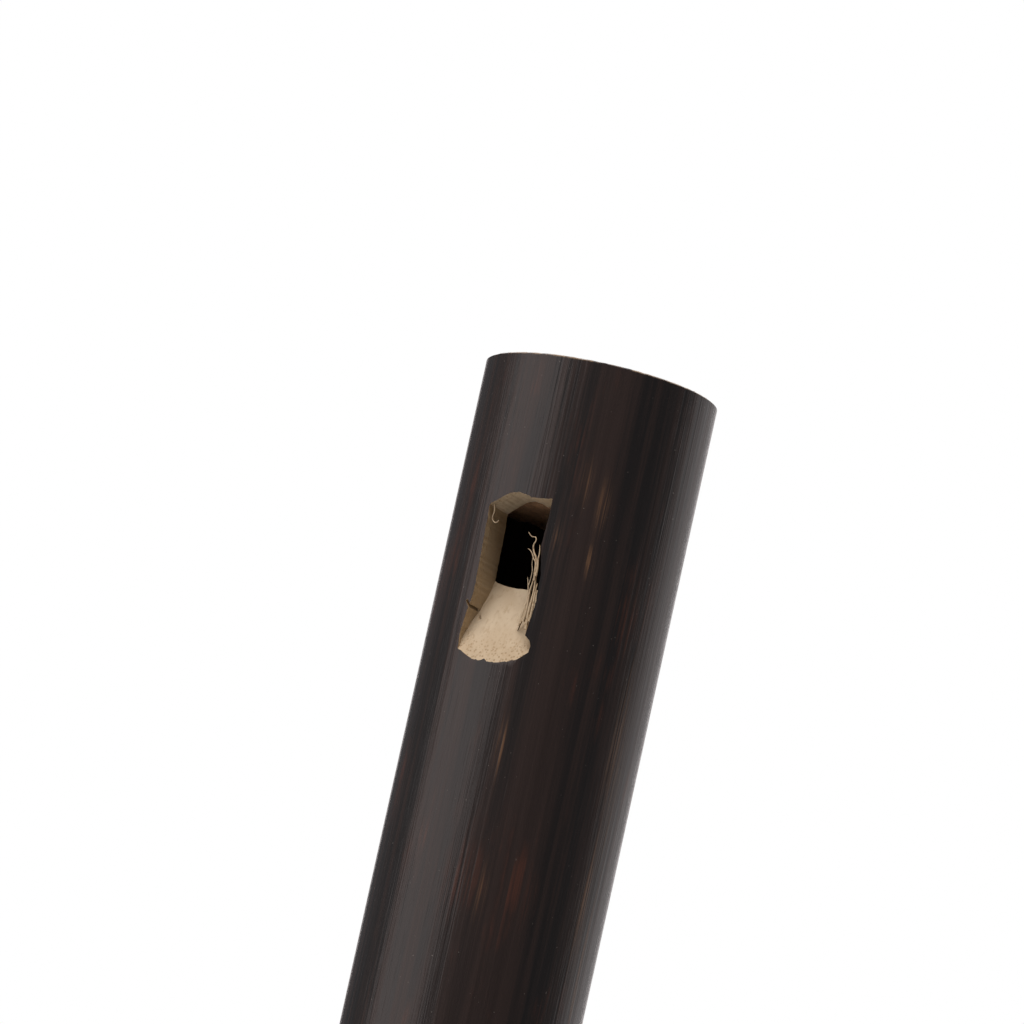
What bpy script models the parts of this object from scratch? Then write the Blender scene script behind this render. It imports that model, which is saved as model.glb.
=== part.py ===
"""A vertical bamboo duct flute, modelled upright as it is played.

Metres, +Z up. The origin is the middle of the foot end, and the window and the
finger holes face -Y. The culm is a turned tube with the swellings of its joints
left on. A hand-cut window opens its wall near the head. A wooden block fills the
bore above the window, with a flat shaved on it that the player's breath passes.
"""

import math

import bmesh
import bpy

# Culm: one length of bamboo, thinner in the wall at the foot
CULM_LENGTH = 0.430
BORE_RADIUS = 0.0080
HEAD_WALL = 0.0040
FOOT_WALL = 0.0034
END_ROUNDING = 0.0003

# Joints of the bamboo: a sanded swelling, the scar line under it, a low ridge inside
FOOT_TO_JOINT = 0.028
JOINT_SPACING = 0.259
JOINT_SWELL = 0.0006
JOINT_SPREAD = 0.0036
SCAR_DROP = 0.0016
SCAR_DEPTH = 0.0003
SCAR_HALF_WIDTH = 0.0006
INNER_RIDGE = 0.0004

# Window: its top, the lip where the bore's wall starts again, and the ramp outside it
HEAD_TO_WINDOW = 0.0147
WINDOW_WIDTH = 0.0068
WINDOW_TO_LIP = 0.0088
RAMP_LENGTH = 0.0086

# Block in the head, held by its fit, with the windway over its flat
BLOCK_CLEARANCE = 0.0002
BLOCK_EDGE = 0.0003
WINDWAY_ENTRY = 0.0016
WINDWAY_EXIT = 0.0011

# Finger holes, from the foot upwards: semitones above the lowest note, and radius
FINGER_HOLES = (
    (2, 0.0036),
    (4, 0.0042),
    (5, 0.0037),
    (7, 0.0042),
    (9, 0.0042),
    (11, 0.0040),
)
OPEN_END_SHARE = 0.61

# Hand-cut edge of the window, as strays from a plain rectangle.
# Top, left to right: share of the half width, how far the edge drops
TOP_STRAYS = ((-1.00, 0.0013), (-0.45, 0.0002), (-0.08, -0.0002), (0.30, 0.0002), (0.98, 0.0001))
# Right side, downwards: share of the height, how far the edge moves out
RIGHT_STRAYS = ((0.12, -0.0001), (0.28, -0.0002), (0.45, 0.0003), (0.70, 0.0005))
# Bottom, right to left: share of the half width, how far the edge rises
BOTTOM_STRAYS = (
    (1.20, 0.0030),
    (1.24, 0.0021),
    (0.80, 0.0004),
    (0.30, 0.0001),
    (-0.02, 0.0004),
    (-0.40, 0.0002),
    (-1.04, 0.0013),
)
# Left side, upwards: share of the height, how far the edge moves out
LEFT_STRAYS = ((0.86, 0.0003), (0.68, -0.0001), (0.50, -0.0002))

# Steps round a full turn, how far a cutter runs past a face, and what counts as an edge
ROUND_STEPS = 72
HOLE_STEPS = 36
CUTTER_MARGIN = 0.003
SHARP_ANGLE = math.radians(18)

WINDOW_TOP = CULM_LENGTH - HEAD_TO_WINDOW
LIP_HEIGHT = WINDOW_TOP - WINDOW_TO_LIP
RAMP_FOOT = LIP_HEIGHT - RAMP_LENGTH


def wall_at(height):
    """Wall of the culm between its joints, which thins evenly towards the foot."""
    return FOOT_WALL + (HEAD_WALL - FOOT_WALL) * height / CULM_LENGTH


def joint_heights():
    """Joints of the bamboo, evenly spaced from the foot, as far as they clear the window."""
    heights = []
    height = FOOT_TO_JOINT
    while height + 3 * JOINT_SPREAD < RAMP_FOOT:
        heights.append(height)
        height += JOINT_SPACING
    return heights


def outer_radius(height):
    """Outer radius of the culm, with the swelling and the scar line of each joint."""
    radius = BORE_RADIUS + wall_at(height)
    for joint in joint_heights():
        radius += JOINT_SWELL * math.exp(-(((height - joint) / JOINT_SPREAD) ** 2))
        if abs(height - joint + SCAR_DROP) < SCAR_HALF_WIDTH / 2:
            radius -= SCAR_DEPTH
    return radius


def rounded_corner(radius, height, start_degrees):
    """Quarter circle about the given point, turning clockwise, as points of a profile."""
    corner = []
    for step in range(4):
        angle = math.radians(start_degrees - 30 * step)
        across = END_ROUNDING * math.cos(angle)
        up = END_ROUNDING * math.sin(angle)
        corner.append((radius + across, height + up))
    return corner


def culm_profile():
    """Section of the culm's wall: down the outer side, and back up the bore."""
    head_radius = BORE_RADIUS + HEAD_WALL
    foot_radius = BORE_RADIUS + FOOT_WALL
    joints = joint_heights()
    profile = rounded_corner(head_radius - END_ROUNDING, CULM_LENGTH - END_ROUNDING, 90)
    for joint in reversed(joints):
        swelling = [joint + JOINT_SPREAD * share for share in (2.6, 1.8, 1.2, 0.7, 0.2, -1.2, -1.8, -2.6)]
        scar = [joint - SCAR_DROP + SCAR_HALF_WIDTH * share for share in (1, 0.4, -0.4, -1)]
        for height in sorted(swelling + scar, reverse=True):
            profile.append((outer_radius(height), height))
    profile += rounded_corner(foot_radius - END_ROUNDING, END_ROUNDING, 0)
    profile += rounded_corner(BORE_RADIUS + END_ROUNDING, END_ROUNDING, 270)
    for joint in joints:
        profile.append((BORE_RADIUS, joint - JOINT_SPREAD))
        profile.append((BORE_RADIUS - INNER_RIDGE, joint))
        profile.append((BORE_RADIUS, joint + JOINT_SPREAD))
    profile.append((BORE_RADIUS, CULM_LENGTH))
    return profile


def window_outline():
    """Edge of the window seen from the front, clockwise, as (across, height) points."""
    half = WINDOW_WIDTH / 2
    length = WINDOW_TOP - RAMP_FOOT
    points = [(half * share, WINDOW_TOP - drop) for share, drop in TOP_STRAYS]
    points += [(half + out, WINDOW_TOP - length * share) for share, out in RIGHT_STRAYS]
    points += [(half * share, RAMP_FOOT + rise) for share, rise in BOTTOM_STRAYS]
    points += [(-half - out, WINDOW_TOP - length * share) for share, out in LEFT_STRAYS]
    return points


def hole_heights():
    """Heights of the finger holes, so that the flute plays a major scale.

    Each hole ends the air column where its note wants it. The column is longer
    than the tube by what the window and the open end add, and a hole acts as if it
    lay lower down, the more so the smaller it is beside the bore.
    """
    window_area = WINDOW_WIDTH * WINDOW_TO_LIP
    bore_to_window = math.pi * BORE_RADIUS**2 / window_area
    at_window = bore_to_window * (HEAD_WALL + 0.5 * math.sqrt(window_area))
    column = LIP_HEIGHT + at_window + OPEN_END_SHARE * BORE_RADIUS
    half_spacing = LIP_HEIGHT / 26
    heights = []
    for semitones, radius in FINGER_HOLES:
        chimney = wall_at(LIP_HEIGHT / 2) + 1.5 * radius
        tightness = chimney / half_spacing * (BORE_RADIUS / radius) ** 2
        at_hole = half_spacing * (math.sqrt(1 + tightness) - 1)
        heights.append(LIP_HEIGHT + at_window + at_hole - column / 2 ** (semitones / 12))
    return heights


def new_collection(name):
    collection = bpy.data.collections.new(name)
    bpy.context.scene.collection.children.link(collection)
    return collection


def new_object(name, data, collection):
    obj = bpy.data.objects.new(name, data)
    collection.objects.link(obj)
    return obj


def material(name, colour, roughness):
    made = bpy.data.materials.new(name)
    made.use_nodes = True
    shader = made.node_tree.nodes["Principled BSDF"]
    shader.inputs["Base Color"].default_value = (*colour, 1)
    shader.inputs["Roughness"].default_value = roughness
    shader.inputs["Metallic"].default_value = 0
    return made


def evaluated_mesh(obj):
    """The object's mesh with its modifiers, or its curve as a mesh."""
    bpy.context.view_layer.update()
    graph = bpy.context.evaluated_depsgraph_get()
    return bpy.data.meshes.new_from_object(obj.evaluated_get(graph))


def cylinder(name, radius, length, steps, collection):
    mesh = bpy.data.meshes.new(name)
    shape = bmesh.new()
    bmesh.ops.create_cone(
        shape,
        cap_ends=True,
        segments=steps,
        radius1=radius,
        radius2=radius,
        depth=length,
    )
    shape.to_mesh(mesh)
    shape.free()
    return new_object(name, mesh, collection)


def plate(name, outline, thickness, rotation, collection):
    """A flat outline given a thickness and turned into place, as a closed mesh."""
    curve = bpy.data.curves.new(name, "CURVE")
    curve.dimensions = "2D"
    curve.fill_mode = "BOTH"
    curve.extrude = thickness / 2
    spline = curve.splines.new("POLY")
    spline.points.add(len(outline) - 1)
    for point, (across, up) in zip(spline.points, outline):
        point.co = (across, up, 0, 1)
    spline.use_cyclic_u = True
    flat = new_object(name + "_outline", curve, collection)

    mesh = evaluated_mesh(flat)
    welded = bmesh.new()
    welded.from_mesh(mesh)
    bmesh.ops.remove_doubles(welded, verts=welded.verts, dist=1e-6)
    bmesh.ops.recalc_face_normals(welded, faces=welded.faces)
    welded.to_mesh(mesh)
    welded.free()
    bpy.data.objects.remove(flat)
    made = new_object(name, mesh, collection)
    made.rotation_euler = rotation
    return made


def side_plate(name, outline, thickness, collection):
    """A plate whose outline is drawn in the YZ plane, centred on X = 0."""
    return plate(name, outline, thickness, (math.pi / 2, 0, math.pi / 2), collection)


def add_boolean(obj, other, operation):
    """Cut the object with the other, or keep what they share. The other turns into a guide."""
    modifier = obj.modifiers.new(other.name, "BOOLEAN")
    modifier.operation = operation
    modifier.object = other
    other.hide_render = True
    other.display_type = "WIRE"


def make_culm(parts):
    profile = culm_profile()
    points = [(radius, 0, height) for radius, height in profile]
    edges = [(i, (i + 1) % len(points)) for i in range(len(points))]
    mesh = bpy.data.meshes.new("bamboo_culm")
    mesh.from_pydata(points, edges, [])
    culm = new_object("bamboo_culm", mesh, parts)
    turned = culm.modifiers.new("turned", "SCREW")
    turned.steps = ROUND_STEPS
    turned.render_steps = ROUND_STEPS
    turned.use_merge_vertices = True
    turned.merge_threshold = 1e-6
    return culm


def make_window_cutter(cutters):
    """What the knife took out: the window's outline, down to the ramp's plane."""
    outside = BORE_RADIUS + HEAD_WALL + CUTTER_MARGIN
    inside = BORE_RADIUS / 2
    window = plate("window", window_outline(), outside - inside, (math.pi / 2, 0, 0), cutters)
    window.location.y = -(outside + inside) / 2

    # The plane runs from the lip, on the bore, out to the skin at the ramp's foot
    steepness = RAMP_LENGTH / (outer_radius(RAMP_FOOT) - BORE_RADIUS)
    far = outside + CUTTER_MARGIN
    above_ramp = (
        (-far, LIP_HEIGHT - (far - BORE_RADIUS) * steepness),
        (0, LIP_HEIGHT + BORE_RADIUS * steepness),
        (0, CULM_LENGTH + BORE_RADIUS * steepness),
        (-far, CULM_LENGTH + BORE_RADIUS * steepness),
    )
    kept = side_plate("above_ramp", above_ramp, 3 * WINDOW_WIDTH, cutters)
    add_boolean(window, kept, "INTERSECT")
    return window


def make_hole_cutter(number, radius, height, cutters):
    """A round cutter through the front wall alone, from outside it into the bore."""
    length = outer_radius(height) + CUTTER_MARGIN
    cutter = cylinder(f"finger_hole_{number}", radius, length, HOLE_STEPS, cutters)
    cutter.rotation_euler.x = math.pi / 2
    cutter.location = (0, -length / 2, height)
    return cutter


def make_block(parts, cutters):
    """The wooden plug that fills the bore down to the window, less the windway."""
    radius = BORE_RADIUS - BLOCK_CLEARANCE
    block = cylinder("fipple_block", radius, HEAD_TO_WINDOW, ROUND_STEPS, parts)
    block.location.z = CULM_LENGTH - HEAD_TO_WINDOW / 2

    # The flat slopes, so that the windway narrows towards the window
    taper = (WINDWAY_ENTRY - WINDWAY_EXIT) / HEAD_TO_WINDOW * CUTTER_MARGIN
    outside = BORE_RADIUS + CUTTER_MARGIN
    above, below = CULM_LENGTH + CUTTER_MARGIN, WINDOW_TOP - CUTTER_MARGIN
    flat = (
        (-outside, below),
        (WINDWAY_EXIT - taper - BORE_RADIUS, below),
        (WINDWAY_ENTRY + taper - BORE_RADIUS, above),
        (-outside, above),
    )
    add_boolean(block, side_plate("windway", flat, 4 * BORE_RADIUS, cutters), "DIFFERENCE")

    edges = block.modifiers.new("edges", "BEVEL")
    edges.width = BLOCK_EDGE
    edges.segments = 2
    edges.limit_method = "ANGLE"
    edges.angle_limit = SHARP_ANGLE
    return block


def finish(piece, look, axis):
    """Keep the cut shape as the piece's own mesh, shaded smooth but for its real edges."""
    mesh = evaluated_mesh(piece)
    piece.modifiers.clear()
    piece.data = mesh
    mesh.shade_smooth()
    mesh.set_sharp_from_angle(angle=SHARP_ANGLE)
    mesh.materials.clear()
    mesh.materials.append(look)
    piece.parent = axis


def main():
    for obj in list(bpy.data.objects):
        bpy.data.objects.remove(obj)
    parts = new_collection("bamboo_flute")
    cutters = new_collection("flute_cutters")
    axis = new_object("flute_axis", None, parts)

    culm = make_culm(parts)
    add_boolean(culm, make_window_cutter(cutters), "DIFFERENCE")
    for number, ((_, radius), height) in enumerate(zip(FINGER_HOLES, hole_heights()), 1):
        add_boolean(culm, make_hole_cutter(number, radius, height, cutters), "DIFFERENCE")
    block = make_block(parts, cutters)

    finish(culm, material("stained_bamboo", (0.016, 0.010, 0.009), 0.35), axis)
    finish(block, material("block_wood", (0.20, 0.115, 0.060), 0.65), axis)


main()
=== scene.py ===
import math

import bmesh
import bpy
from mathutils import Matrix, Vector, noise


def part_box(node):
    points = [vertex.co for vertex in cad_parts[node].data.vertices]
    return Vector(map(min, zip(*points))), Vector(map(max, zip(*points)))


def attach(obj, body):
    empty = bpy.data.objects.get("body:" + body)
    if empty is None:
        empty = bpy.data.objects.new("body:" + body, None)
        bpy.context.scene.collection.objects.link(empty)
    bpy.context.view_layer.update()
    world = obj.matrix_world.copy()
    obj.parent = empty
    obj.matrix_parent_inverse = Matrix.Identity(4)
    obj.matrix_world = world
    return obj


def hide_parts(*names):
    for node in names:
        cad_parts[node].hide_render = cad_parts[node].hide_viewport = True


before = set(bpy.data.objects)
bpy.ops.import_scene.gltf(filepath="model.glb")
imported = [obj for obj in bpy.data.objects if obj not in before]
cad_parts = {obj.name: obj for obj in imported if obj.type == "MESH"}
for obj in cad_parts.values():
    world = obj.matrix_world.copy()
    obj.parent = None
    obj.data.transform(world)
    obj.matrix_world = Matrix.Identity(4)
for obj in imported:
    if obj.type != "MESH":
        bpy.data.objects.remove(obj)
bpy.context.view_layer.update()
mm = 0.001
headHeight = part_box("bamboo_culm")[1][2]


# Small builders

def meshFrom(name, verts, faces, smooth=True):
    mesh = bpy.data.meshes.new(name)
    mesh.from_pydata(verts, [], faces)
    mesh.update()
    if smooth:
        mesh.shade_smooth()
    made = bpy.data.objects.new(name, mesh)
    bpy.context.scene.collection.objects.link(made)
    return made


# Rings of points joined in a stack, with both ends capped, or closed on itself as a tube
def stackFaces(rings, around, closed=False):
    faces = []
    if not closed:
        last = (rings - 1) * around
        faces = [tuple(range(around)), tuple(reversed(range(last, last + around)))]
    for ring in range(rings if closed else rings - 1):
        first = ring * around
        second = (ring + 1) % rings * around
        for step in range(around):
            side = (step + 1) % around
            faces.append((first + step, second + step, second + side, first + side))
    return faces


def faceOutwards(obj):
    work = bmesh.new()
    work.from_mesh(obj.data)
    bmesh.ops.recalc_face_normals(work, faces=work.faces)
    if work.calc_volume(signed=True) < 0:
        bmesh.ops.reverse_faces(work, faces=work.faces)
    work.to_mesh(obj.data)
    work.free()


# A cutter leaves its own finish on what it cuts
def cutterFrom(name, verts, faces, finish, smooth=True):
    cutter = meshFrom(name, verts, faces, smooth)
    cutter.data.materials.append(finishes[finish])
    faceOutwards(cutter)
    return cutter


def meshOf(obj):
    bpy.context.view_layer.update()
    graph = bpy.context.evaluated_depsgraph_get()
    return bpy.data.meshes.new_from_object(obj.evaluated_get(graph))


def cutAway(obj, cutter):
    modifier = obj.modifiers.new(cutter.name, "BOOLEAN")
    modifier.operation = "DIFFERENCE"
    modifier.object = cutter
    modifier.solver = "MANIFOLD"
    modifier.material_mode = "TRANSFER"
    mesh = meshOf(obj)
    obj.modifiers.clear()
    obj.data = mesh
    bpy.data.objects.remove(cutter)


def wobble(x, y, z):
    return noise.noise(Vector((x, y, z)))


def ringWobble(angle, pace, along):
    return wobble(math.cos(angle) * pace, math.sin(angle) * pace, along)


# Millimetres to the right, below the head and in front of the axis, as a point of the scene
def headPoint(x, below, depth):
    return (x * mm, -depth * mm, headHeight - below * mm)


# Small builders for materials

mixSockets = {"first": 6, "second": 7, "result": 2}     # the Mix node's colour sockets


def node(tree, kind, values=None, **settings):
    made = tree.nodes.new(kind)
    for key, value in settings.items():
        setattr(made, key, value)
    for key, value in (values or {}).items():
        if isinstance(value, bpy.types.NodeSocket):
            tree.links.new(value, made.inputs[key])
        else:
            made.inputs[key].default_value = value
    return made


def newMaterial(name):
    made = bpy.data.materials.new(name)
    made.use_nodes = True
    tree = made.node_tree
    return made, tree, tree.nodes["Principled BSDF"]


def stretched(tree, scale, shift=0):
    where = node(tree, "ShaderNodeTexCoord").outputs["Object"]
    mapping = node(tree, "ShaderNodeMapping", {
        "Vector": where, "Scale": scale, "Location": (shift, shift, shift),
    })
    return mapping.outputs["Vector"]


def grainNoise(tree, scale, detail, rough, shift):
    made = node(tree, "ShaderNodeTexNoise", {
        "Vector": stretched(tree, scale, shift), "Scale": 1, "Detail": detail, "Roughness": rough,
    })
    return made.outputs["Fac"]


def between(tree, value, low, high, toLow=0.0, toHigh=1.0):
    made = node(tree, "ShaderNodeMapRange", {
        "Value": value, "From Min": low, "From Max": high, "To Min": toLow, "To Max": toHigh,
    }, interpolation_type="SMOOTHSTEP")
    return made.outputs["Result"]


def maths(tree, operation, first, second=0.0):
    return node(tree, "ShaderNodeMath", {0: first, 1: second}, operation=operation).outputs[0]


def times(tree, first, second):
    return maths(tree, "MULTIPLY", first, second)


def plus(tree, first, second):
    return maths(tree, "ADD", first, second)


def mixed(tree, share, first, second):
    made = node(tree, "ShaderNodeMix", {"Factor": share}, data_type="RGBA")
    for name, value in (("first", first), ("second", second)):
        socket = made.inputs[mixSockets[name]]
        if isinstance(value, bpy.types.NodeSocket):
            tree.links.new(value, socket)
        else:
            socket.default_value = (*value, 1)
    return made.outputs[mixSockets["result"]]


def bumped(tree, height, strength, distance):
    made = node(tree, "ShaderNodeBump", {"Height": height, "Strength": strength, "Distance": distance})
    return made.outputs["Normal"]


def placeParts(tree):
    where = node(tree, "ShaderNodeTexCoord").outputs["Object"]
    return node(tree, "ShaderNodeSeparateXYZ", {0: where}).outputs


def distanceFromAxis(tree):
    parts = placeParts(tree)
    across = times(tree, parts["X"], parts["X"])
    deep = times(tree, parts["Y"], parts["Y"])
    return maths(tree, "SQRT", plus(tree, across, deep))


# Finishes: a noise is (scale in X, Y and Z), detail, roughness and shift,
# and a range is where a change starts and ends, then what it goes from and to

lacquerLook = {
    "dark": (0.0085, 0.0062, 0.0058),
    "brown": (0.027, 0.0140, 0.0105),
    "red": (0.085, 0.027, 0.014),
    "worn": (0.150, 0.078, 0.038),
    "dust": (0.30, 0.27, 0.24),
    "rim": (0.42, 0.30, 0.18),                      # raw bamboo along the head's edge
    "broadNoise": ((130, 130, 9), 3, 0.6, 0),
    "streakNoise": ((900, 900, 16), 5, 0.65, 3),
    "fineNoise": ((2600, 2600, 40), 3, 0.6, 7),
    "blotchNoise": ((260, 260, 70), 4, 0.6, 11),
    "hairNoise": ((5200, 5200, 60), 3, 0.6, 19),
    "dustNoise": ((3600, 3600, 2400), 2, 0.5, 17),
    "rimNoise": ((700, 700, 700), 3, 0.6, 23),
    "brownStreaks": (0.42, 0.62),
    "brownPatches": (0.45, 0.62, 0.0, 0.75),
    "redBlotches": (0.53, 0.72),
    "redLines": (0.40, 0.62),
    "redness": 0.8,
    "rubbedStreaks": (0.42, 0.60),
    "rubbedHairs": (0.44, 0.58),
    "rubbedGain": 1.5,                              # in the broken lines of a rubbed place
    "rubbedLeast": 0.05,                            # all over a rubbed place
    "dustSpecks": (0.745, 0.78, 0.0, 0.5),
    "rimBand": (0.28 * mm, 0.05 * mm),              # below the head
    "rimBreaks": (0.38, 0.55),
    "roughness": (0.3, 0.7, 0.42, 0.60),
    "fineRelief": 0.7,
    "hairRelief": 0.3,
    "bump": (0.7, 0.07 * mm),
    "coatBump": (0.9, 0.07 * mm),
    "specular": 0.3,
    "coat": 0.9,
    "coatRoughness": 0.17,
}


def lacqueredSkin():
    look = lacquerLook
    made, tree, shader = newMaterial("lacqueredSkin")
    broad = grainNoise(tree, *look["broadNoise"])
    streak = grainNoise(tree, *look["streakNoise"])
    fine = grainNoise(tree, *look["fineNoise"])
    blotch = grainNoise(tree, *look["blotchNoise"])
    hair = grainNoise(tree, *look["hairNoise"])
    speck = grainNoise(tree, *look["dustNoise"])

    # Stain: dark, with brown streaks and reddish blotches
    colour = mixed(tree, between(tree, streak, *look["brownStreaks"]), look["dark"], look["brown"])
    colour = mixed(tree, between(tree, broad, *look["brownPatches"]), colour, look["brown"])
    blotches = between(tree, blotch, *look["redBlotches"])
    reddish = times(tree, blotches, between(tree, fine, *look["redLines"]))
    colour = mixed(tree, times(tree, reddish, look["redness"]), colour, look["red"])

    # Rubbed places, dust, and the raw line at the head
    wear = node(tree, "ShaderNodeAttribute", attribute_name="wear").outputs["Fac"]
    streaks = between(tree, streak, *look["rubbedStreaks"])
    broken = times(tree, streaks, between(tree, hair, *look["rubbedHairs"]))
    strength = plus(tree, times(tree, broken, look["rubbedGain"]), look["rubbedLeast"])
    colour = mixed(tree, times(tree, wear, strength), colour, look["worn"])
    colour = mixed(tree, between(tree, speck, *look["dustSpecks"]), colour, look["dust"])
    low, high = look["rimBand"]
    rim = between(tree, placeParts(tree)["Z"], headHeight - low, headHeight - high)
    rim = times(tree, rim, between(tree, grainNoise(tree, *look["rimNoise"]), *look["rimBreaks"]))
    colour = mixed(tree, rim, colour, look["rim"])

    tree.links.new(colour, shader.inputs["Base Color"])
    tree.links.new(between(tree, streak, *look["roughness"]), shader.inputs["Roughness"])
    lines = plus(tree, times(tree, fine, look["fineRelief"]), times(tree, hair, look["hairRelief"]))
    ridges = plus(tree, streak, lines)
    tree.links.new(bumped(tree, ridges, *look["bump"]), shader.inputs["Normal"])
    tree.links.new(bumped(tree, ridges, *look["coatBump"]), shader.inputs["Coat Normal"])
    shader.inputs["Specular IOR Level"].default_value = look["specular"]
    shader.inputs["Coat Weight"].default_value = look["coat"]
    shader.inputs["Coat Roughness"].default_value = look["coatRoughness"]
    return made


rawLook = {
    "pale": (0.66, 0.55, 0.385),
    "tan": (0.44, 0.315, 0.175),
    "bundle": (0.30, 0.185, 0.085),                 # ends of the fibre bundles
    "wall": (0.36, 0.265, 0.155),                   # painted shade: the darker tan that the window's side walls get for facing sideways
    "fibreNoise": ((2300, 2300, 110), 5, 0.65, 5),
    "cloudNoise": ((420, 420, 300), 3, 0.55, 9),
    "clouds": (0.40, 0.68, 0.0, 0.30),
    # Painted shade on faces that point sideways: where it starts and ends, and how much of it shows
    "sidewaysShade": (0.45, 0.85),
    "sideShadeShare": 0.85,
    "fibres": (0.50, 0.68, 0.0, 0.45),
    "cellScale": 3300.0,
    "cellStretch": (1, 1, 0.8),
    "cellDisorder": 0.9,
    "dots": (0.22, 0.42, 1.0, 0.0),
    "nearSkin": (10.2 * mm, 11.7 * mm),             # from the axis, where the bundles are dense
    "dotShare": 0.65,
    "tanShare": 0.35,
    "dotRelief": -0.8,
    "bump": (0.6, 0.06 * mm),
    "roughness": 0.72,
    "specular": 0.3,
}


def rawBamboo():
    look = rawLook
    made, tree, shader = newMaterial("rawBamboo")
    fibre = grainNoise(tree, *look["fibreNoise"])
    cloud = grainNoise(tree, *look["cloudNoise"])
    colour = mixed(tree, between(tree, cloud, *look["clouds"]), look["pale"], look["tan"])
    # Painted shade: faces that point sideways, as the window's side walls do, are mixed towards a darker tan
    normal = node(tree, "ShaderNodeNewGeometry").outputs["Normal"]
    facing = node(tree, "ShaderNodeSeparateXYZ", {0: normal}).outputs["X"]
    sidewaysShade = between(tree, maths(tree, "ABSOLUTE", facing), *look["sidewaysShade"])
    colour = mixed(tree, times(tree, sidewaysShade, look["sideShadeShare"]), colour, look["wall"])
    colour = mixed(tree, between(tree, fibre, *look["fibres"]), colour, look["tan"])

    # Bundle ends, as dark dots towards the skin
    cells = node(tree, "ShaderNodeTexVoronoi", {
        "Vector": stretched(tree, look["cellStretch"]),
        "Scale": look["cellScale"],
        "Randomness": look["cellDisorder"],
    })
    nearSkin = between(tree, distanceFromAxis(tree), *look["nearSkin"])
    dots = times(tree, between(tree, cells.outputs["Distance"], *look["dots"]), nearSkin)
    colour = mixed(tree, times(tree, dots, look["dotShare"]), colour, look["bundle"])
    colour = mixed(tree, times(tree, nearSkin, look["tanShare"]), colour, look["tan"])

    tree.links.new(colour, shader.inputs["Base Color"])
    relief = plus(tree, fibre, times(tree, dots, look["dotRelief"]))
    tree.links.new(bumped(tree, relief, *look["bump"]), shader.inputs["Normal"])
    shader.inputs["Roughness"].default_value = look["roughness"]
    shader.inputs["Specular IOR Level"].default_value = look["specular"]
    return made


boreLook = {
    "dark": (0.010, 0.0075, 0.006),
    "brown": (0.030, 0.018, 0.012),
    "streakNoise": ((800, 800, 30), 4, 0.6, 31),
    "streaks": (0.35, 0.7),
    "bump": (0.5, 0.08 * mm),
    "roughness": 0.8,
}


def stainedBore():
    look = boreLook
    made, tree, shader = newMaterial("stainedBore")
    streak = grainNoise(tree, *look["streakNoise"])
    colour = mixed(tree, between(tree, streak, *look["streaks"]), look["dark"], look["brown"])
    tree.links.new(colour, shader.inputs["Base Color"])
    tree.links.new(bumped(tree, streak, *look["bump"]), shader.inputs["Normal"])
    shader.inputs["Roughness"].default_value = look["roughness"]
    return made


woodLook = {
    "light": (0.60, 0.36, 0.20),
    "brown": (0.36, 0.20, 0.105),
    "pore": (0.18, 0.095, 0.05),
    "grainNoise": ((500, 130, 60), 5, 0.65, 41),
    "poreNoise": ((3200, 3200, 400), 3, 0.6, 43),
    "grain": (0.35, 0.70),
    "pores": (0.52, 0.66, 0.0, 0.5),
    "bump": (0.6, 0.10 * mm),
    "roughness": 0.7,
}


def blockWood():
    look = woodLook
    made, tree, shader = newMaterial("blockWood")
    grain = grainNoise(tree, *look["grainNoise"])
    pores = grainNoise(tree, *look["poreNoise"])
    colour = mixed(tree, between(tree, grain, *look["grain"]), look["light"], look["brown"])
    colour = mixed(tree, between(tree, pores, *look["pores"]), colour, look["pore"])
    tree.links.new(colour, shader.inputs["Base Color"])
    tree.links.new(bumped(tree, plus(tree, grain, pores), *look["bump"]), shader.inputs["Normal"])
    shader.inputs["Roughness"].default_value = look["roughness"]
    return made


finishes = {
    "skin": lacqueredSkin(),
    "raw": rawBamboo(),
    "bore": stainedBore(),
    "block": blockWood(),
}
print("finishes made:", len(finishes))


# Culm: its skin, both cut ends and the bore, as one closed tube

culmShape = {
    "boreRadius": 8.0 * mm,
    "headRadius": 12.0 * mm,
    "footRadius": 11.4 * mm,
    "around": 200,                      # points in each ring
    "boreSteps": 40,                    # stretches between the bore's rings
    "joints": (28 * mm, 287 * mm),      # heights of the bamboo's joints
    "jointSwell": 0.6 * mm,
    "jointSpread": 3.6 * mm,
    "scarDrop": 1.6 * mm,
    "scarDepth": 0.3 * mm,
    "scarSpread": 0.35 * mm,
    "waver": 0.05 * mm,                 # slow unevenness of the skin
    "waverPace": (1.3, 28),             # round the tube, and along it
    "waverInset": 0.6,                  # share of it that keeps the skin inside the solid's
    "ridge": 0.012 * mm,                # fine lengthwise ridges
    "ridgePace": (24, 40),
    "topRing": 0.15 * mm,               # below the head
    "lowestRing": 0.3 * mm,
    "ringGap": 2.6 * mm,
    "ringGapNearHead": 1.0 * mm,
    "ringGapAtJoint": 0.45 * mm,
    "headStretch": 72 * mm,
    "jointStretch": 9 * mm,
    "headRounding": 0.22 * mm,
    "footRounding": 0.25 * mm,
    "mouthRounding": 0.35 * mm,         # of the bore, at the foot
    "roundingWaver": 0.5,               # as a share of the rounding
    "roundingPace": (14, 3),
    "sanding": 0.03 * mm,               # taken off the skin at both ends
    "sawMarks": 0.05 * mm,
    "sawPace": (30, 100),
    "sawAtFoot": 0.2,                   # share of the saw marks that the foot keeps
    "sharpAngle": 38,
}


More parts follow.
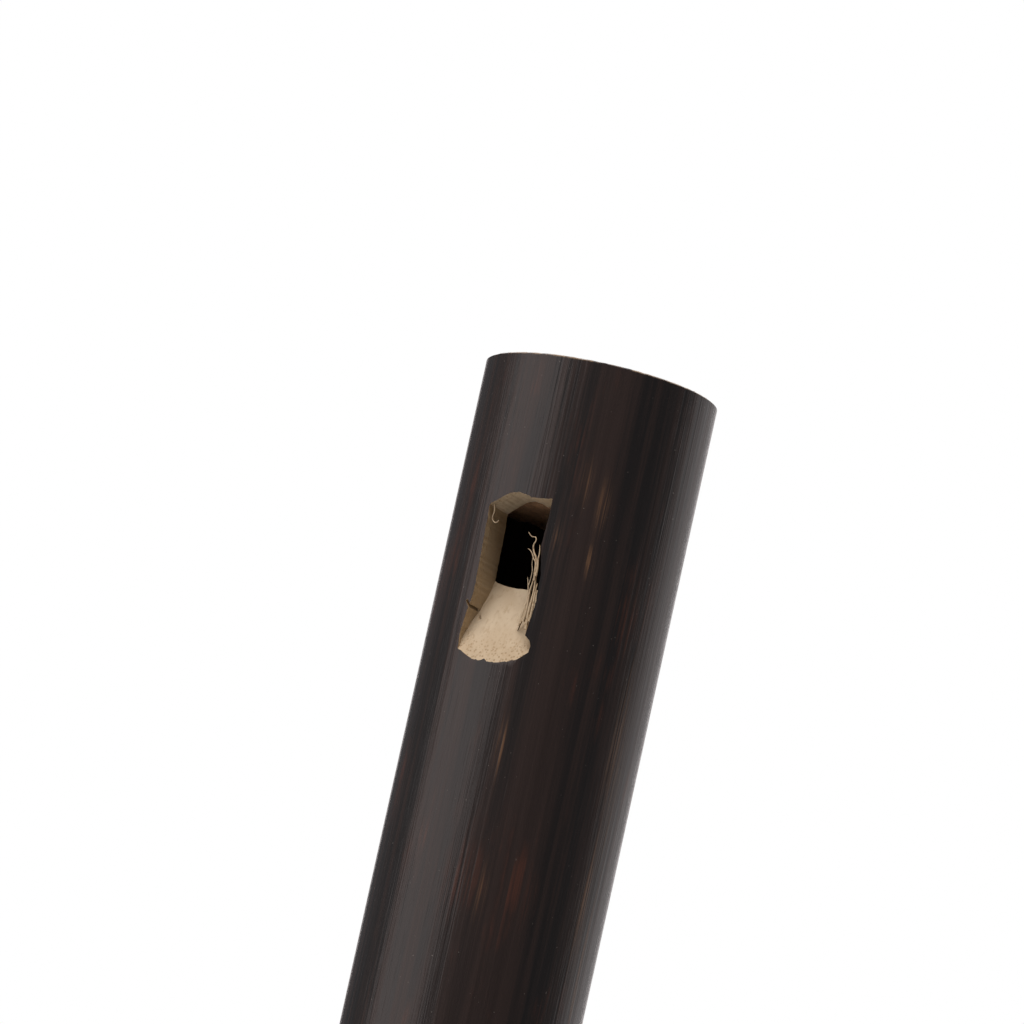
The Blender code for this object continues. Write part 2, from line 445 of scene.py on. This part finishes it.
def skinRadius(height, angle):
    share = height / headHeight
    radius = culmShape["footRadius"] + (culmShape["headRadius"] - culmShape["footRadius"]) * share
    for joint in culmShape["joints"]:
        swell = (height - joint) / culmShape["jointSpread"]
        scar = (height - joint + culmShape["scarDrop"]) / culmShape["scarSpread"]
        radius += culmShape["jointSwell"] * math.exp(-swell * swell)
        radius -= culmShape["scarDepth"] * math.exp(-scar * scar)
    pace, along = culmShape["waverPace"]
    slow = ringWobble(angle, pace, height * along)
    radius += culmShape["waver"] * (slow - culmShape["waverInset"])
    pace, along = culmShape["ridgePace"]
    radius += culmShape["ridge"] * ringWobble(angle, pace, height * along)
    return radius


def skinHeights():
    heights = []
    height = headHeight - culmShape["topRing"]
    while height > culmShape["lowestRing"]:
        heights.append(height)
        if any(abs(height - joint) < culmShape["jointStretch"] for joint in culmShape["joints"]):
            height -= culmShape["ringGapAtJoint"]
        elif height > headHeight - culmShape["headStretch"]:
            height -= culmShape["ringGapNearHead"]
        else:
            height -= culmShape["ringGap"]
    return heights


# Each ring is (kind, height, how far it is set in), down the skin and back up the bore
def culmRings():
    mouth = culmShape["mouthRounding"]
    rings = [("end", headHeight, culmShape["headRounding"])]
    rings += [("skin", height, 0) for height in skinHeights()]
    rings += [("end", 0.0, culmShape["footRounding"]), ("mouth", 0.0, mouth), ("bore", mouth, 0)]
    for step in range(1, culmShape["boreSteps"]):
        rings.append(("bore", headHeight * step / culmShape["boreSteps"], 0))
    rings.append(("mouth", headHeight, 0))
    return rings


def culmPoint(kind, height, inset, angle):
    if kind in ("skin", "end"):
        uneven = 1 + culmShape["roundingWaver"] * ringWobble(angle, *culmShape["roundingPace"])
        radius = skinRadius(height, angle) - inset * uneven
        if kind == "end":
            radius -= culmShape["sanding"]
    else:
        radius = culmShape["boreRadius"] + inset
    lift = 0
    if kind in ("end", "mouth"):
        pace, along = culmShape["sawPace"]
        ragged = culmShape["sawMarks"] * abs(ringWobble(angle, pace, height * along))
        atHead = height > headHeight / 2
        lift = -ragged if atHead else ragged * culmShape["sawAtFoot"]
    return (radius * math.cos(angle), radius * math.sin(angle), height + lift)


def finishBetween(kinds):
    if kinds == {"end", "mouth"}:
        return "raw"
    if kinds <= {"bore", "mouth"}:
        return "bore"
    return "skin"


def makeCulm():
    around = culmShape["around"]
    rings = culmRings()
    angles = [2 * math.pi * step / around for step in range(around)]
    verts = [culmPoint(*ring, angle) for ring in rings for angle in angles]
    culm = meshFrom("culmDressed", verts, stackFaces(len(rings), around, closed=True))
    order = ("skin", "raw", "bore")
    for name in order:
        culm.data.materials.append(finishes[name])
    index = []
    for here, there in zip(rings, rings[1:] + rings[:1]):
        index += [order.index(finishBetween({here[0], there[0]}))] * around
    culm.data.polygons.foreach_set("material_index", index)
    faceOutwards(culm)
    return culm


# Window: what the knife took out, in millimetres.
# Marks are (size, pace, pace, seed), for the unevenness that the knife left

windowCut = {
    # Across and below the head, clockwise from the top left
    "outline": (
        (-3.55, 15.97), (-2.60, 15.40), (-2.10, 15.13), (-1.28, 14.65), (-0.38, 14.45), (0.59, 14.60),
        (1.21, 14.82), (2.37, 14.76), (3.36, 14.60), (3.33, 16.4), (3.26, 18.0), (3.23, 19.4), (3.77, 22.2),
        (3.91, 25.3), (3.67, 27.3), (3.57, 28.7), (4.05, 29.1), (4.22, 29.6), (4.16, 30.3), (2.84, 31.7),
        (1.96, 32.2), (0.92, 32.15), (0.30, 31.95), (-0.10, 31.65), (-0.50, 31.85), (-1.25, 32.0),
        (-2.39, 31.4), (-3.55, 30.9), (-3.71, 29.5), (-3.51, 27.4), (-3.23, 26.1), (-3.09, 24.4),
        (-3.25, 21.6), (-3.31, 19.4), (-3.43, 17.0),
    ),
    "step": 0.14,               # spacing of the points along the edge
    "acrossMarks": ((0.05, 3.1, 3.1, 1), (0.03, 8, 8, 2)),
    "downMarks": ((0.05, 3.1, 3.1, 4), (0.03, 8, 8, 6)),
    "outside": 13.4,            # in front of the axis, past the skin
    "inside": 5.6,
    "layer": 0.28,              # spacing of the points through the wall
    "sideWalls": (16.5, 31),    # below the head, from where to where they run
    "wallMarks": ((0.07, 4.2, 0.35, 20), (0.03, 9, 1.2, 27)),
    "endMarks": ((0.05, 2.5, 1.6, 33),),
    "lip": 23.5,                # below the head, on the centre line
    "rampSlope": 0.465,         # how far out the ramp goes for each step down
    "rampHollow": 0.038,        # how much the knife hollowed it, at the lip
    "hollowLength": 11,         # over which the hollow would fade out
    "hollowLeast": 0.25,        # share of it that stays
    "rampMarks": ((0.03, 1.1, 0.8, 5), (0.012, 5, 3, 8)),
    "tornFrom": 6.3,            # below the lip, where the ramp starts to look torn
    "tornOver": 1.6,
    "tornMarks": ((0.07, 4.5, 3.8, 12),),
    "rampSpan": (-4.9, 5.2),
    "rampDrop": (16.0, 34.0),
    "rampGrid": 0.16,
    "rampBack": 2.0,
    # Thin cuts beside the ramp: across and below the head, from front to back of the axis
    "slit": {
        "corners": ((1.25, 22.9), (1.75, 22.9), (2.00, 28.0), (1.92, 28.2)),
        "front": 11.2,
        "back": 7.0,
    },
    "nick": {
        "corners": ((-3.9, 25.9), (-3.6, 25.8), (-2.6, 27.3), (-2.75, 27.4)),
        "front": 12.5,
        "back": 9.2,
    },
}


def knifeMarks(name, first, second, side=1):
    total = 0
    for size, pace, otherPace, seed in windowCut[name]:
        total += size * wobble(first * pace, second * otherPace, side * seed)
    return total


# How far in front of the axis the ramp lies
def rampDepth(x, below):
    drop = below - windowCut["lip"]
    fading = min(1, 1 - drop / windowCut["hollowLength"])
    hollow = windowCut["rampHollow"] * max(windowCut["hollowLeast"], fading)
    depth = culmShape["boreRadius"] / mm + windowCut["rampSlope"] * drop - hollow * x * x
    depth += knifeMarks("rampMarks", x, below)
    torn = max(0, min(1, (drop - windowCut["tornFrom"]) / windowCut["tornOver"]))
    return depth + torn * knifeMarks("tornMarks", x, below)


def edgePoints():
    corners = windowCut["outline"]
    points = []
    for here, there in zip(corners, corners[1:] + corners[:1]):
        count = max(1, round(math.dist(here, there) / windowCut["step"]))
        for step in range(count):
            share = step / count
            x = here[0] + (there[0] - here[0]) * share
            below = here[1] + (there[1] - here[1]) * share
            x += knifeMarks("acrossMarks", x, below)
            below += knifeMarks("downMarks", x, below)
            points.append((x, below))
    return points


def makeRampBlock():
    left, right = windowCut["rampSpan"]
    top, bottom = windowCut["rampDrop"]
    columns = round((right - left) / windowCut["rampGrid"])
    rows = round((bottom - top) / windowCut["rampGrid"])
    places = []
    for row in range(rows + 1):
        below = top + (bottom - top) * row / rows
        places += [(left + (right - left) * column / columns, below) for column in range(columns + 1)]
    verts = [headPoint(x, below, rampDepth(x, below)) for x, below in places]
    verts += [headPoint(x, below, windowCut["rampBack"]) for x, below in places]
    across = columns + 1
    back = len(places)
    faces = []
    for row in range(rows):
        for column in range(columns):
            corner = row * across + column
            under = corner + across
            faces.append((corner, corner + 1, under + 1, under))
            faces.append((back + corner, back + under, back + under + 1, back + corner + 1))
    rim = list(range(columns)) + [row * across + columns for row in range(rows)]
    rim += [rows * across + column for column in range(columns, 0, -1)]
    rim += [row * across for row in range(rows, 0, -1)]
    for here, there in zip(rim, rim[1:] + rim[:1]):
        faces.append((here, back + here, back + there, there))
    return cutterFrom("rampBlock", verts, faces, "raw")


def makeWindowCutter():
    edge = edgePoints()
    top, bottom = windowCut["sideWalls"]
    layers = 0
    verts = []
    depth = windowCut["outside"]
    while depth > windowCut["inside"]:
        for x, below in edge:
            side = 1 if x > 0 else -1
            if top < below < bottom:
                x += side * knifeMarks("wallMarks", depth, below, side)
            else:
                below += knifeMarks("endMarks", x, depth)
            verts.append(headPoint(x, below, depth))
        layers += 1
        depth -= windowCut["layer"]
    prism = cutterFrom("windowCutter", verts, stackFaces(layers, len(edge)), "raw")
    cutAway(prism, makeRampBlock())
    return prism


def makeWedge(name, corners, front, back):
    verts = [headPoint(x, below, depth) for depth in (front, back) for x, below in corners]
    return cutterFrom(name, verts, stackFaces(2, len(corners)), "raw", smooth=False)


# Finger holes, in millimetres, with a softly rounded edge

fingerHoles = {
    # Height above the foot, and radius
    "places": ((58.0, 3.6), (98.3, 4.2), (119.6, 3.7), (153.6, 4.2), (185.4, 4.2), (214.5, 4.0)),
    "rounding": 0.45,
    "roundingSteps": 4,
    "steps": 64,
    "depths": (6.0, 9.0),       # in front of the axis, where the hole is straight
    "pastSkin": 1.2,
    "flare": 0.5,               # past the rounding, outside the skin
    "waver": 0.04,
    "waverPace": 3,
}


# Each layer is (depth, whether that counts from the skin, how much wider it is)
def holeLayers():
    rounding = fingerHoles["rounding"]
    layers = [(depth, False, 0) for depth in fingerHoles["depths"]]
    for step in range(fingerHoles["roundingSteps"] + 1):
        turn = math.pi / 2 * step / fingerHoles["roundingSteps"]
        layers.append((-rounding * (1 - math.sin(turn)), True, rounding * (1 - math.cos(turn))))
    layers.append((fingerHoles["pastSkin"], True, rounding + fingerHoles["flare"]))
    return layers


def makeHoleCutter(height, radius):
    steps = fingerHoles["steps"]
    front = -math.pi / 2
    skin = skinRadius(height * mm, front) / mm
    layers = holeLayers()
    verts = []
    for depth, fromSkin, wider in layers:
        for step in range(steps):
            angle = 2 * math.pi * step / steps
            waver = fingerHoles["waver"] * ringWobble(angle, fingerHoles["waverPace"], height)
            surface = math.sqrt(skin ** 2 - (radius * math.cos(angle)) ** 2)
            here = surface + depth if fromSkin else depth
            reach = radius + waver + wider
            up = height + reach * math.sin(angle)
            verts.append((reach * math.cos(angle) * mm, -here * mm, up * mm))
    return cutterFrom("holeCutter", verts, stackFaces(len(layers), steps), "bore")


# Rubbed lacquer

rubbedPlaces = {
    # Degrees round from the window, millimetres below the head, half width and half length
    "spots": (
        (30.0, 12.3, 0.45, 1.9), (41.0, 14.2, 0.5, 2.0), (21.5, 18.2, 0.35, 1.0), (40.0, 20.0, 0.4, 1.2),
        (12.0, 28.5, 0.3, 0.9), (17.5, 40.0, 0.45, 2.2), (22.5, 54.5, 0.45, 2.2), (77.0, 36.0, 0.5, 6.0),
        (84.0, 44.0, 0.5, 6.0), (80.0, 52.0, 0.7, 5.0), (88.0, 60.0, 0.5, 6.0), (-33.5, 60.5, 0.4, 0.4),
        (150.0, 90.0, 0.6, 5.0), (200.0, 140.0, 0.5, 4.0), (110.0, 200.0, 0.6, 6.0),
        (60.0, 260.0, 0.5, 5.0), (-60.0, 230.0, 0.6, 4.0), (250.0, 310.0, 0.6, 6.0),
        (30.0, 370.0, 0.7, 4.0), (-100.0, 390.0, 0.6, 5.0),
    ),
    "reach": 3,                 # half lengths, past which a spot has faded out
    "reachRound": 20,           # degrees
}


def paintWear(culm):
    mesh = culm.data
    attribute = mesh.attributes.new("wear", "FLOAT", "POINT")
    skin = culmShape["headRadius"] / mm
    for number, vertex in enumerate(mesh.vertices):
        x, y, z = vertex.co
        turned = math.degrees(math.atan2(x, -y))
        below = (headHeight - z) / mm
        wear = 0
        for angle, drop, wide, long in rubbedPlaces["spots"]:
            off = (turned - angle + 180) % 360 - 180
            if abs(below - drop) > rubbedPlaces["reach"] * long or abs(off) > rubbedPlaces["reachRound"]:
                continue
            across = math.radians(off) * skin / wide
            wear = max(wear, math.exp(-across ** 2 - ((below - drop) / long) ** 2))
        attribute.data[number].value = wear


culm = makeCulm()
cutAway(culm, makeWindowCutter())
cutAway(culm, makeWedge("slitCutter", **windowCut["slit"]))
cutAway(culm, makeWedge("nickCutter", **windowCut["nick"]))
for height, radius in fingerHoles["places"]:
    cutAway(culm, makeHoleCutter(height, radius))
culm.data.shade_smooth()
culm.data.set_sharp_from_angle(angle=math.radians(culmShape["sharpAngle"]))
paintWear(culm)
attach(culm, "root")
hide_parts("bamboo_culm")
print("culm cut:", len(culm.data.polygons), "faces")


# Torn fibres that the knife left on the window's edges, in millimetres:
# points across, below the head and in front of the axis, then the first and last radius

tornFibres = {
    "curlLong": {
        "points": (
            (3.15, 23.0, 11.2), (3.10, 21.6, 11.3), (2.85, 20.7, 11.3), (2.45, 20.2, 11.3), (2.2, 19.5, 11.3),
            (2.5, 19.0, 11.35), (2.3, 18.6, 11.3), (1.75, 18.7, 11.2), (1.3, 18.2, 11.1),
        ),
        "thick": 0.12,
        "thin": 0.03,
    },
    "curlShort": {
        "points": (
            (3.05, 22.4, 11.3), (2.98, 21.2, 11.3), (2.6, 20.9, 11.3), (2.2, 20.1, 11.3), (1.7, 19.9, 11.2),
        ),
        "thick": 0.10,
        "thin": 0.03,
    },
    "stub": {
        "points": (
            (3.3, 22.6, 11.4), (3.34, 21.9, 11.4), (3.12, 20.8, 11.4), (3.20, 20.1, 11.4),
            (2.95, 19.4, 11.35),
        ),
        "thick": 0.13,
        "thin": 0.04,
    },
    "sliver": {
        "points": (
            (2.05, 27.6, 10.3), (2.16, 26.4, 10.3), (2.36, 24.9, 10.3), (2.22, 23.6, 10.3), (1.8, 22.6, 10.2),
        ),
        "thick": 0.17,
        "thin": 0.03,
    },
    "innerHair": {
        "points": ((1.85, 23.4, 9.7), (2.08, 21.9, 9.8), (1.62, 20.9, 9.8), (1.75, 19.9, 9.8)),
        "thick": 0.06,
        "thin": 0.02,
    },
    "shredA": {
        "points": (
            (2.7, 27.2, 10.8), (2.93, 26.0, 10.9), (2.70, 24.3, 10.9), (2.95, 22.7, 10.9), (2.75, 21.3, 11.0),
        ),
        "thick": 0.17,
        "thin": 0.04,
    },
    "shredB": {
        "points": (
            (3.35, 28.0, 11.1), (3.2, 26.2, 11.15), (3.35, 24.3, 11.1), (3.15, 22.4, 11.1), (3.0, 21.0, 11.2),
        ),
        "thick": 0.20,
        "thin": 0.04,
    },
    "shredC": {
        "points": ((3.6, 27.2, 11.25), (3.72, 26.0, 11.3), (3.55, 24.4, 11.3), (3.6, 23.3, 11.3)),
        "thick": 0.17,
        "thin": 0.05,
    },
    "shredD": {
        "points": ((2.35, 27.4, 10.6), (2.6, 26.4, 10.65), (2.45, 25.2, 10.6), (2.72, 24.6, 10.7)),
        "thick": 0.13,
        "thin": 0.04,
    },
    "leftCurl": {
        "points": (
            (-3.1, 15.9, 11.2), (-2.95, 16.5, 11.05), (-3.22, 17.1, 10.9), (-3.02, 17.6, 10.8),
            (-2.58, 17.66, 10.8), (-2.42, 17.35, 10.9),
        ),
        "thick": 0.08,
        "thin": 0.05,
    },
}


strand = {"roundSteps": 2, "lengthSteps": 6, "order": 3}


def makeFibre(name, points, thick, thin):
    curve = bpy.data.curves.new(name, "CURVE")
    curve.dimensions = "3D"
    curve.bevel_depth = 1       # so that a point's radius is the strand's own
    curve.bevel_resolution = strand["roundSteps"]
    curve.use_fill_caps = True
    curve.resolution_u = strand["lengthSteps"]
    spline = curve.splines.new("NURBS")
    spline.points.add(len(points) - 1)
    spline.order_u = strand["order"]
    spline.use_endpoint_u = True
    for number, (point, place) in enumerate(zip(spline.points, points)):
        share = number / (len(points) - 1)
        point.co = (*headPoint(*place), 1)
        point.radius = (thick + (thin - thick) * share) * mm
    holder = bpy.data.objects.new(name, curve)
    bpy.context.scene.collection.objects.link(holder)
    mesh = meshOf(holder)
    bpy.data.objects.remove(holder)
    made = bpy.data.objects.new(name, mesh)
    bpy.context.scene.collection.objects.link(made)
    mesh.shade_smooth()
    mesh.materials.clear()
    mesh.materials.append(finishes["raw"])
    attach(made, "root")


for name, fibre in tornFibres.items():
    makeFibre(name, **fibre)
print("fibres placed:", len(tornFibres))


# Block: a plug with a sloping flat, and a rough sawn face above the window

blockShape = {
    "radius": 7.8 * mm,
    "length": 14.7 * mm,
    "windwayEntry": 1.6 * mm,
    "windwayExit": 1.1 * mm,
    "around": 120,
    # Rings, as shares of the radius on both faces, and of the length on the side
    "lowerFace": (0.12, 0.25, 0.38, 0.5, 0.62, 0.74, 0.85, 0.93, 0.975),
    "side": (0.02, 0.06, 0.2, 0.4, 0.6, 0.8, 0.94, 0.98),
    "upperFace": (0.975, 0.93, 0.8, 0.6, 0.4, 0.2),
    "sawMarks": 0.22 * mm,
    "sawPace": (900, 400),
    "fineShare": 0.5,
    "finePace": (2500, 1500),
    "lift": 0.1 * mm,                   # keeps the sawn face inside the solid's
    "upperMarks": 0.05 * mm,
    "upperPace": (1500, 800),
    "seeds": {"saw": 3, "fine": 7, "upper": 9},
    "sharpAngle": 40,
}


def blockMark(kind, x, y):
    pace, otherPace = blockShape[kind + "Pace"]
    return wobble(x * pace, y * otherPace, blockShape["seeds"][kind])


def blockPoint(ringRadius, height, bottom, angle):
    x = ringRadius * math.cos(angle)
    y = ringRadius * math.sin(angle)
    share = (height - bottom) / blockShape["length"]
    narrow, wide = blockShape["windwayExit"], blockShape["windwayEntry"]
    y = max(y, narrow + (wide - narrow) * share - culmShape["boreRadius"])
    lift = 0
    if height == bottom:
        marks = blockMark("saw", x, y) + blockShape["fineShare"] * blockMark("fine", x, y)
        lift = blockShape["sawMarks"] * marks + blockShape["lift"]
    elif height == headHeight:
        lift = -blockShape["upperMarks"] * abs(blockMark("upper", x, y))
    return (x, y, height + lift)


def makeBlock():
    around = blockShape["around"]
    radius, length = blockShape["radius"], blockShape["length"]
    bottom = headHeight - length
    rings = [(radius * share, bottom) for share in blockShape["lowerFace"]]
    rings += [(radius, bottom + length * share) for share in blockShape["side"]]
    rings += [(radius * share, headHeight) for share in blockShape["upperFace"]]
    angles = [2 * math.pi * step / around for step in range(around)]
    verts = [blockPoint(*ring, bottom, angle) for ring in rings for angle in angles]
    block = meshFrom("blockDressed", verts, stackFaces(len(rings), around))
    faceOutwards(block)
    block.data.set_sharp_from_angle(angle=math.radians(blockShape["sharpAngle"]))
    block.data.materials.append(finishes["block"])
    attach(block, "root")
    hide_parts("fipple_block")


makeBlock()
print("block made")


# Camera: the photograph's angle, with the head's rim where the photograph has it

cameraView = {
    "azimuth": 27.5,
    "elevation": -10.9,
    "distance": 0.75,
    "image": 1024,                 # pixels across
    "tubeWidth": 236.2,            # pixels across the head
    "rimCentre": (602, 385),       # pixels from the top left
    "lean": 12.46,                 # degrees that the tube leans to the right
    "sensor": 36,
    "nearest": 0.01,
}


def directionOf(azimuth, elevation):
    turned, raised = math.radians(azimuth), math.radians(elevation)
    level = math.cos(raised)
    return Vector((math.sin(turned) * level, -math.cos(turned) * level, math.sin(raised)))


# Three axes at right angles, from one that holds and one that only gives the side
def axesFrom(first, second):
    first = first.normalized()
    across = first.cross(second).normalized()
    return Matrix((first, across, first.cross(across))).transposed()


def placeCamera():
    back = directionOf(cameraView["azimuth"], cameraView["elevation"])
    size, distance, sensor = cameraView["image"], cameraView["distance"], cameraView["sensor"]
    focal = cameraView["tubeWidth"] / (2 * culmShape["headRadius"]) * distance
    right = cameraView["rimCentre"][0] - size / 2
    up = size / 2 - cameraView["rimCentre"][1]
    lean = math.radians(cameraView["lean"])
    inWorld = axesFrom(-back, Vector((0, 0, 1)))
    inCamera = axesFrom(Vector((right, up, -focal)), Vector((math.sin(lean), math.cos(lean), 0)))
    turn = inWorld @ inCamera.transposed()
    data = bpy.data.cameras.new("photoCamera")
    data.sensor_width = sensor
    data.lens = focal / size * sensor
    data.clip_start = cameraView["nearest"]
    camera = bpy.data.objects.new("photoCamera", data)
    bpy.context.scene.collection.objects.link(camera)
    head = Vector((0, 0, headHeight))
    camera.matrix_world = Matrix.Translation(head + back * distance) @ turn.to_4x4()
    bpy.context.scene.camera = camera


# Studio: soft boxes, a faint fill from all round, and a pale floor

studio = {
    # Azimuth as the camera's, elevation, width, height, distance, radiance
    "boxes": {
        "leftBox": (-40, 12, 0.90, 1.10, 0.80, 0.85),
        "topBox": (5, 68, 0.70, 0.60, 0.80, 5.0),
        "rearRight": (158, 8, 0.80, 1.10, 0.80, 0.42),
        "rearBack": (205, 5, 0.50, 1.10, 0.90, 0.9),
    },
    "warmth": (1.0, 0.92, 0.905),
    "aim": 25 * mm,                # below the head
    "fill": (0.10, 0.10, 0.105),
    "backdrop": (1, 1, 1),         # only as the camera sees it
    "floorHalf": 3,
    "floorDrop": 0.05 * mm,
    "floorColour": (0.86, 0.86, 0.86, 1),
    "floorRoughness": 0.9,
    "floorSpecular": 0.1,
}


def placeLights():
    target = Vector((0, 0, headHeight - studio["aim"]))
    for name, (azimuth, elevation, width, height, distance, radiance) in studio["boxes"].items():
        away = directionOf(azimuth, elevation)
        data = bpy.data.lights.new(name, "AREA")
        data.shape = "RECTANGLE"
        data.size = width
        data.size_y = height
        data.energy = radiance * math.pi * width * height
        data.color = studio["warmth"]
        lamp = bpy.data.objects.new(name, data)
        bpy.context.scene.collection.objects.link(lamp)
        lamp.location = target + away * distance
        lamp.rotation_euler = away.to_track_quat("Z", "Y").to_euler()
        lamp.visible_camera = False


def paintWorld():
    world = bpy.data.worlds.new("paleStudio")
    bpy.context.scene.world = world
    world.use_nodes = True
    tree = world.node_tree
    shade = tree.nodes["Background"]
    path = node(tree, "ShaderNodeLightPath")
    colour = mixed(tree, path.outputs["Is Camera Ray"], studio["fill"], studio["backdrop"])
    tree.links.new(colour, shade.inputs["Color"])
    shade.inputs["Strength"].default_value = 1


def layFloor():
    half = studio["floorHalf"]
    corners = [(-half, -half, 0), (half, -half, 0), (half, half, 0), (-half, half, 0)]
    floor = meshFrom("paleFloor", corners, [(0, 1, 2, 3)])
    floor.location.z = -studio["floorDrop"]
    made, tree, shader = newMaterial("paleFloor")
    shader.inputs["Base Color"].default_value = studio["floorColour"]
    shader.inputs["Roughness"].default_value = studio["floorRoughness"]
    shader.inputs["Specular IOR Level"].default_value = studio["floorSpecular"]
    floor.data.materials.append(made)


placeCamera()
placeLights()
paintWorld()
layFloor()
bpy.context.scene.view_settings.view_transform = "Standard"
print("studio set")
